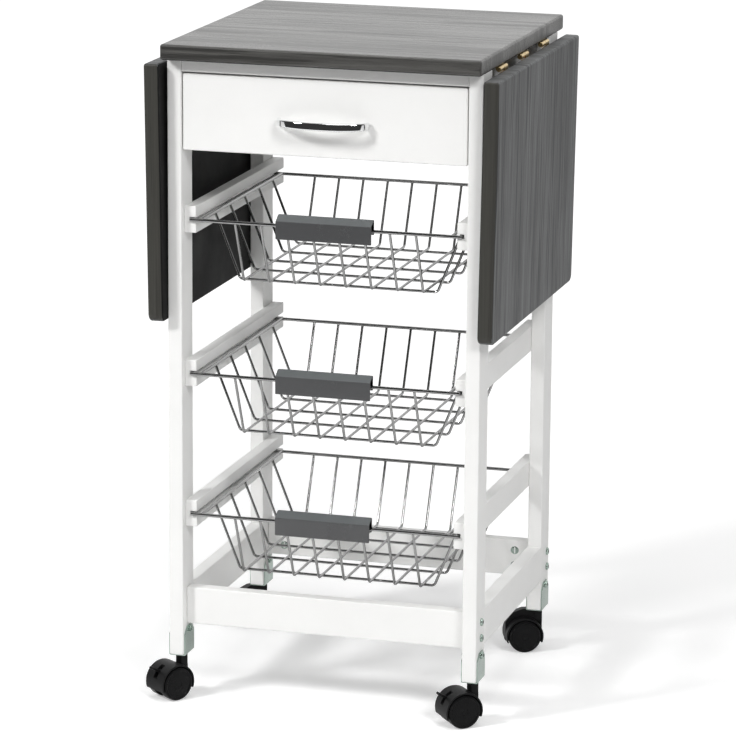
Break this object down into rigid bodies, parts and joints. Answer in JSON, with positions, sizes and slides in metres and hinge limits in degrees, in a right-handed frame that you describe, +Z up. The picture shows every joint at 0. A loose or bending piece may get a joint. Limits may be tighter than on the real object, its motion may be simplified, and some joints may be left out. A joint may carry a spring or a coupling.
{
  "type": "room service table",
  "caption": "Narrow kitchen trolley on swivel casters with a wood-grain top, drop leaves at both sides, a drawer and pull-out wire baskets.",
  "frame": {"origin": "on the floor, under the middle of the top board", "axes": "+Z up, +X to the table's right seen from its drawer side, +Y to its back"},
  "size_m": [0.4223, 0.3865, 0.775],
  "materials": {
    "dark_top": "satin wood-grain foil",
    "white_boards": "satin white paint",
    "zinc_steel": "zinc plated",
    "brass_hinges": "brass plated",
    "chrome_handle": "polished",
    "chrome_wire": "bright",
    "grey_plastic": "satin dark grey",
    "black_plastic": "satin black",
    "black_wheels": "satin black"
  },
  "bodies": {
    "frame": {"top_board": "dark_top", "leg_front_left": "white_boards", "leg_front_right": "white_boards", "leg_rear_left": "white_boards", "leg_rear_right": "white_boards", "lower_rail_front": "white_boards", "lower_rail_rear": "white_boards", "lower_rail_left": "white_boards", "lower_rail_right": "white_boards", "top_rail_front": "white_boards", "apron_rear": "white_boards", "apron_left": "white_boards", "apron_right": "white_boards", "drawer_runner_left": "white_boards", "drawer_runner_right": "white_boards", "runner_upper_left": "white_boards", "runner_upper_right": "white_boards", "runner_middle_left": "white_boards", "runner_middle_right": "white_boards", "runner_lower_left": "white_boards", "runner_lower_right": "white_boards", "rail_bolts": "zinc_steel", "barrel_nuts": "zinc_steel", "caster_brackets": "zinc_steel", "bracket_bolts": "zinc_steel", "caster_stems": "zinc_steel", "hinge_top_plates": "brass_hinges"},
    "drawer": {"drawer_front": "white_boards", "drawer_side_left": "white_boards", "drawer_side_right": "white_boards", "drawer_back": "white_boards", "drawer_bottom": "white_boards", "drawer_handle": "chrome_handle"},
    "basket_upper": {"basket_upper": "chrome_wire", "grip_upper": "grey_plastic"},
    "basket_middle": {"basket_middle": "chrome_wire", "grip_middle": "grey_plastic"},
    "basket_lower": {"basket_lower": "chrome_wire", "grip_lower": "grey_plastic"},
    "leaf_left": {"leaf_left": "dark_top", "hinge_leaf_plates_left": "brass_hinges"},
    "leaf_right": {"leaf_right": "dark_top", "hinge_leaf_plates_right": "brass_hinges"},
    "caster_front_left": {"caster_hood_front_left": "black_plastic"},
    "wheelset_front_left": {"wheels_front_left": "black_wheels"},
    "brake_front_left": {"brake_lever_front_left": "black_plastic"},
    "caster_front_right": {"caster_hood_front_right": "black_plastic"},
    "wheelset_front_right": {"wheels_front_right": "black_wheels"},
    "brake_front_right": {"brake_lever_front_right": "black_plastic"},
    "caster_rear_left": {"caster_hood_rear_left": "black_plastic"},
    "wheelset_rear_left": {"wheels_rear_left": "black_wheels"},
    "caster_rear_right": {"caster_hood_rear_right": "black_plastic"},
    "wheelset_rear_right": {"wheels_rear_right": "black_wheels"}
  },
  "joints": [
    {"name": "drawer_slide", "type": "slide", "parent": "frame", "child": "drawer", "axis": [0, -1, 0], "range_m": [0, 0.23]},
    {"name": "basket_upper_slide", "type": "slide", "parent": "frame", "child": "basket_upper", "axis": [0, -1, 0], "range_m": [0, 0.24]},
    {"name": "basket_middle_slide", "type": "slide", "parent": "frame", "child": "basket_middle", "axis": [0, -1, 0], "range_m": [0, 0.24]},
    {"name": "basket_lower_slide", "type": "slide", "parent": "frame", "child": "basket_lower", "axis": [0, -1, 0], "range_m": [0, 0.24]},
    {"name": "leaf_left_hinge", "type": "hinge", "parent": "frame", "child": "leaf_left", "pos_m": [-0.1862, 0, 0.7538], "axis": [0, 1, 0], "range_deg": [0, 90.79]},
    {"name": "leaf_right_hinge", "type": "hinge", "parent": "frame", "child": "leaf_right", "pos_m": [0.1862, 0, 0.7538], "axis": [0, -1, 0], "range_deg": [0, 90.79]},
    {"name": "caster_front_left_swivel", "type": "hinge", "parent": "frame", "child": "caster_front_left", "pos_m": [-0.1765, -0.1515, 0.045], "axis": [0, 0, 1], "continuous": true},
    {"name": "wheelset_front_left_spin", "type": "hinge", "parent": "caster_front_left", "child": "wheelset_front_left", "pos_m": [-0.18625, -0.16543, 0.02], "axis": [-0.8192, 0.5736, 0], "continuous": true},
    {"name": "brake_front_left_press", "type": "hinge", "parent": "caster_front_left", "child": "brake_front_left", "pos_m": [-0.19371, -0.17608, 0.033], "axis": [0.8192, -0.5736, 0], "range_deg": [0, 20]},
    {"name": "caster_front_right_swivel", "type": "hinge", "parent": "frame", "child": "caster_front_right", "pos_m": [0.1765, -0.1515, 0.045], "axis": [0, 0, 1], "continuous": true},
    {"name": "wheelset_front_right_spin", "type": "hinge", "parent": "caster_front_right", "child": "wheelset_front_right", "pos_m": [0.16329, -0.1622, 0.02], "axis": [-0.6293, 0.7771, 0], "continuous": true},
    {"name": "brake_front_right_press", "type": "hinge", "parent": "caster_front_right", "child": "brake_front_right", "pos_m": [0.15319, -0.17038, 0.033], "axis": [0.6293, -0.7771, 0], "range_deg": [0, 20]},
    {"name": "caster_rear_left_swivel", "type": "hinge", "parent": "frame", "child": "caster_rear_left", "pos_m": [-0.1765, 0.1515, 0.045], "axis": [0, 0, 1], "continuous": true},
    {"name": "wheelset_rear_left_spin", "type": "hinge", "parent": "caster_rear_left", "child": "wheelset_rear_left", "pos_m": [-0.18743, 0.13848, 0.02], "axis": [-0.766, 0.6428, 0], "continuous": true},
    {"name": "caster_rear_right_swivel", "type": "hinge", "parent": "frame", "child": "caster_rear_right", "pos_m": [0.1765, 0.1515, 0.045], "axis": [0, 0, 1], "continuous": true},
    {"name": "wheelset_rear_right_spin", "type": "hinge", "parent": "caster_rear_right", "child": "wheelset_rear_right", "pos_m": [0.16097, 0.14458, 0.02], "axis": [-0.4067, 0.9135, 0], "continuous": true}
  ]
}
